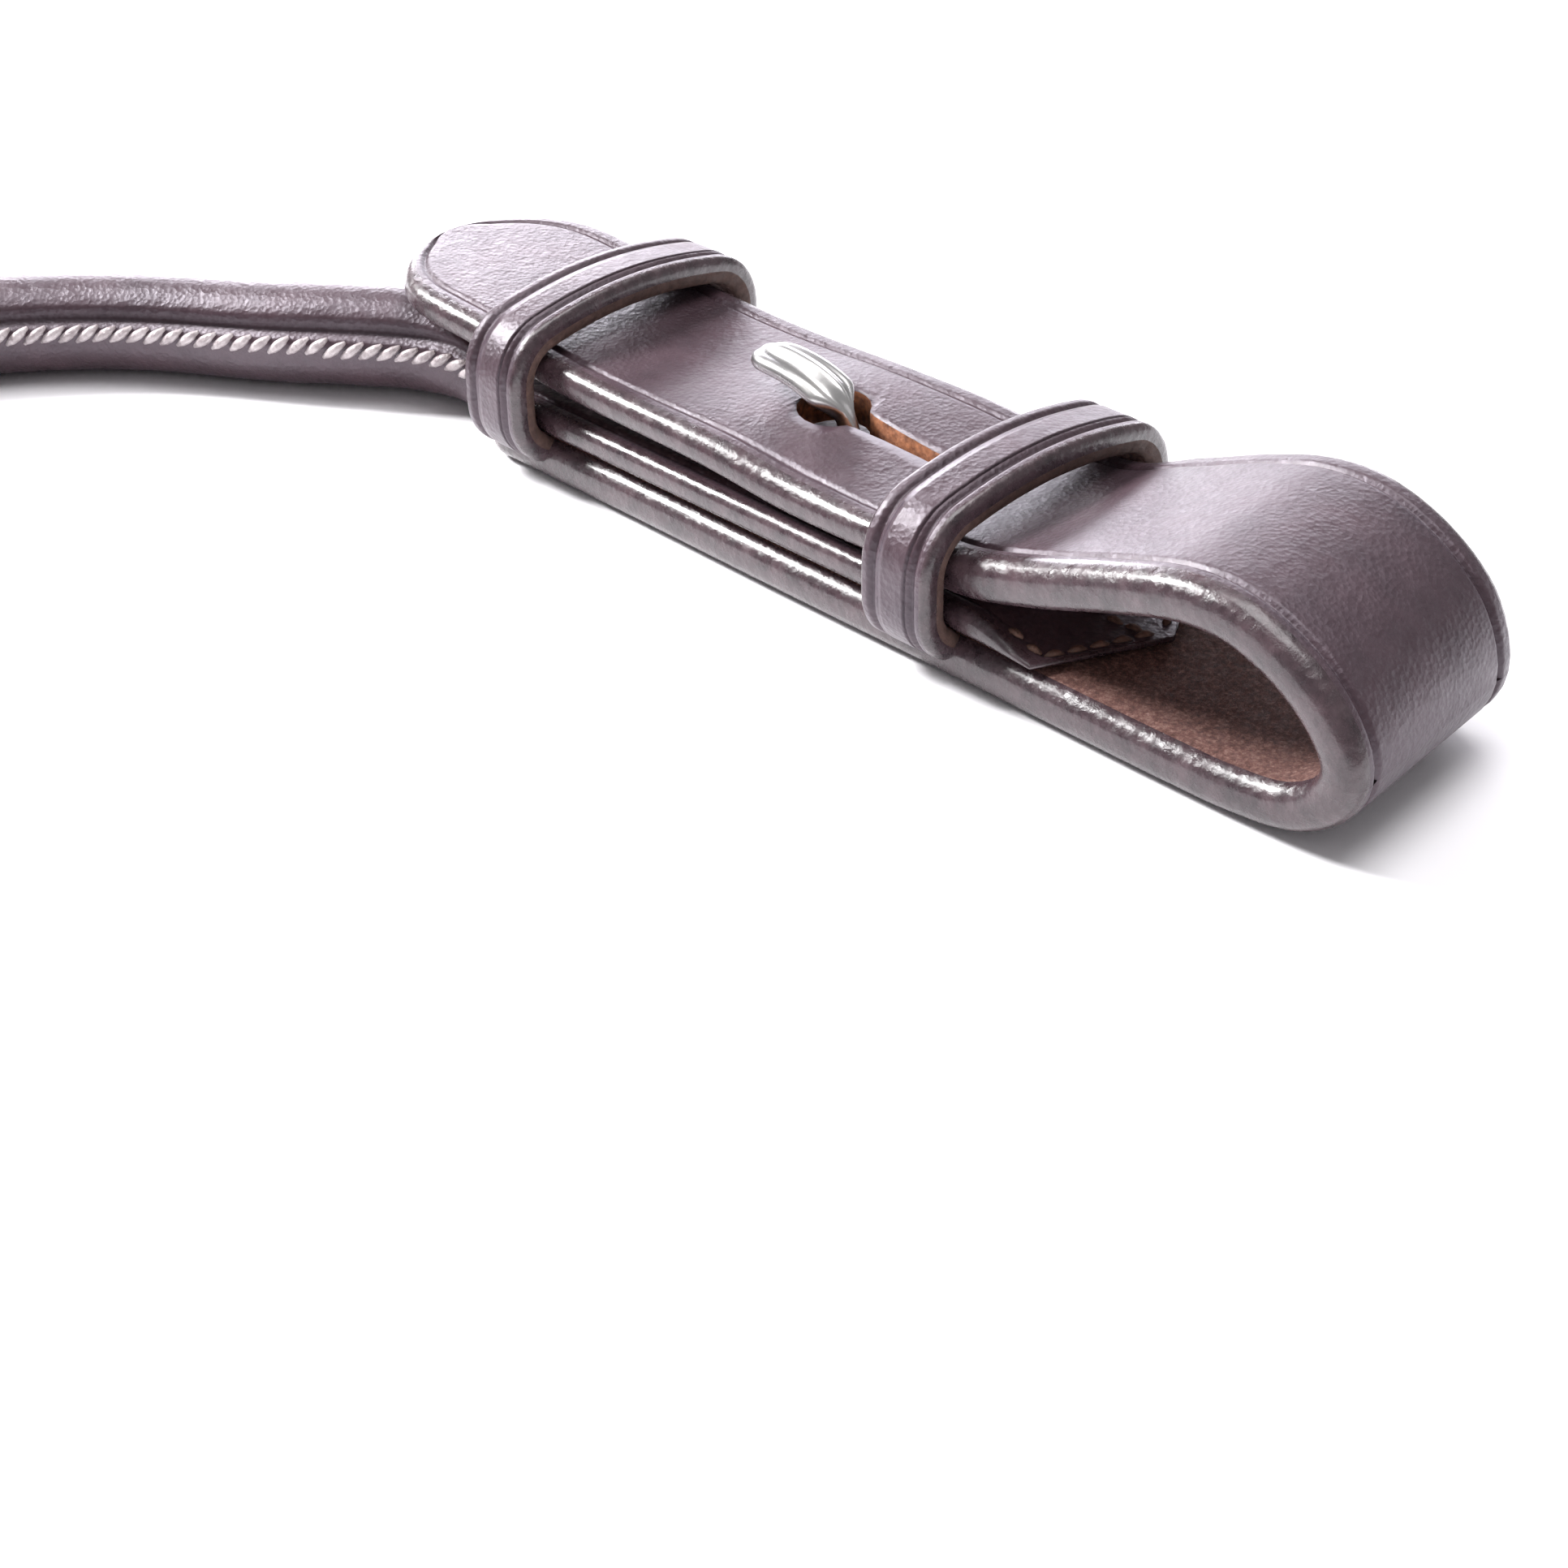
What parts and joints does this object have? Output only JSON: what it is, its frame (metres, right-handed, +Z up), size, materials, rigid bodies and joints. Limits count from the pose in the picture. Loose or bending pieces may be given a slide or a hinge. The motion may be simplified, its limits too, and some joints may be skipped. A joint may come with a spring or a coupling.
{
  "type": "rolled leather rein",
  "caption": "Rolled leather rein: hook-stud bit billet with keepers, round hand part in a stored coil, and a flat end with a tongue buckle.",
  "frame": {"origin": "centre of the billet's footprint, on the surface it lies on", "axes": "+X along the billet towards the bit loop, +Y across the strap away from the stitched seam's side, +Z up"},
  "size_m": [0.1547, 0.1546, 0.0286],
  "materials": {
    "bridle_leather": "polished havana brown with creased, burnished edges",
    "flesh_leather": "raw flesh side, matt",
    "stainless": "polished stainless steel",
    "cord_core": "twisted cord core inside the rolled leather"
  },
  "bodies": {
    "root": {"billet_strap": "bridle_leather", "billet_filler": "flesh_leather", "keeper_rein_end": "bridle_leather", "keeper_loop_end": "bridle_leather", "stud_plate": "stainless", "stud_hook": "stainless", "rein_throat": "bridle_leather", "rein_roll": "bridle_leather", "rein_core": "cord_core", "rein_coil": "bridle_leather", "rein_tail": "bridle_leather", "hand_taper": "bridle_leather", "hand_chape": "bridle_leather", "hand_filler": "flesh_leather", "hand_keeper": "bridle_leather"},
    "point": {"billet_point": "bridle_leather"},
    "buckle": {"buckle_frame": "stainless"},
    "tongue": {"buckle_tongue": "stainless"}
  },
  "joints": [
    {"name": "point_slide", "type": "slide", "parent": "root", "child": "point", "axis": [-1, 0, 0], "range_m": [0, 0.008]},
    {"name": "buckle_swing", "type": "hinge", "parent": "root", "child": "buckle", "pos_m": [-0.0275, -0.1095, 0.01905], "axis": [0, -1, 0], "range_deg": [0, 75]},
    {"name": "tongue_swing", "type": "hinge", "parent": "buckle", "child": "tongue", "pos_m": [-0.0275, -0.1095, 0.01905], "axis": [0, -1, 0], "range_deg": [0, 45]}
  ]
}
